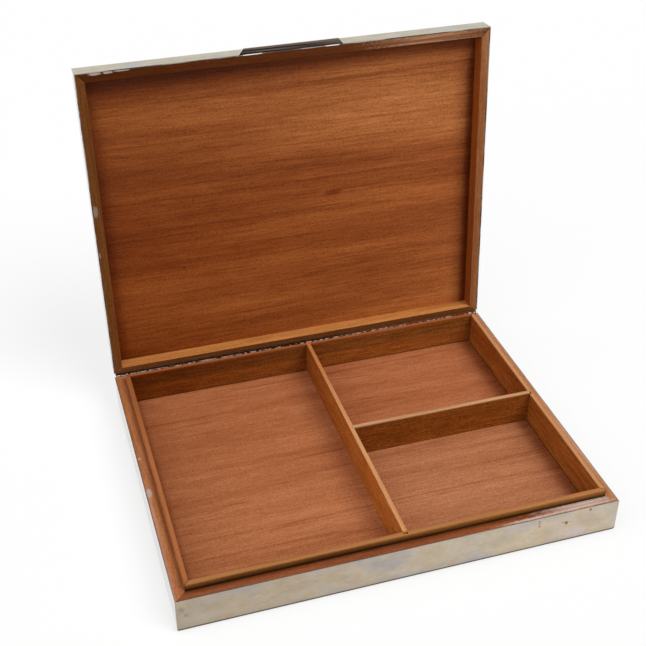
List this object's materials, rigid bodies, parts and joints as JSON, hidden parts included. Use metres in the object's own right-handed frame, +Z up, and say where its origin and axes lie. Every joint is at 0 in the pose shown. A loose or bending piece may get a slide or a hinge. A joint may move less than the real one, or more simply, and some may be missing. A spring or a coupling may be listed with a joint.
{
  "type": "silver-clad wooden box",
  "caption": "Shallow silver-clad wooden desk box with a hinged lid, a raised inner lip and a divided compartment, standing open.",
  "frame": {"origin": "centre of the flat underside, on the surface that the box stands on", "axes": "+X along the hinge to the right, +Y towards the hinged back, +Z up; the lid stands open at joint value 0"},
  "size_m": [0.28, 0.2521, 0.2507],
  "materials": {
    "silver": "polished silver sheet, lightly tarnished",
    "hinge_silver": "drawn and soldered silver, tarnished in the joints",
    "frame_wood": "varnished cedar-like hardwood",
    "lining_wood": "oiled cedar-like wood",
    "divider_wood": "oiled cedar-like wood",
    "floor_wood": "satin veneer",
    "panel_wood": "satin veneer",
    "board_wood": "plain board"
  },
  "bodies": {
    "base": {"base_front_silver": "silver", "base_front_rail": "frame_wood", "front_lining": "lining_wood", "base_right_silver": "silver", "base_right_rail": "frame_wood", "right_lining": "lining_wood", "base_back_silver": "silver", "base_back_rail": "frame_wood", "back_lining": "lining_wood", "base_left_silver": "silver", "base_left_rail": "frame_wood", "left_lining": "lining_wood", "bottom_board": "board_wood", "floor_panel": "floor_wood", "long_divider": "divider_wood", "cross_divider": "divider_wood", "hinge_base_strip": "hinge_silver", "hinge_pin": "hinge_silver"},
    "lid": {"lid_silver_cover": "silver", "lid_panel": "panel_wood", "thumb_piece": "silver", "hinge_lid_strip": "hinge_silver", "lid_front_rail": "frame_wood", "lid_right_rail": "frame_wood", "lid_back_rail": "frame_wood", "lid_left_rail": "frame_wood"}
  },
  "joints": [
    {"name": "lid_hinge", "type": "hinge", "parent": "base", "child": "lid", "pos_m": [0, 0.1111, 0.0261], "axis": [1, 0, 0], "range_deg": [0, 94.4]}
  ]
}
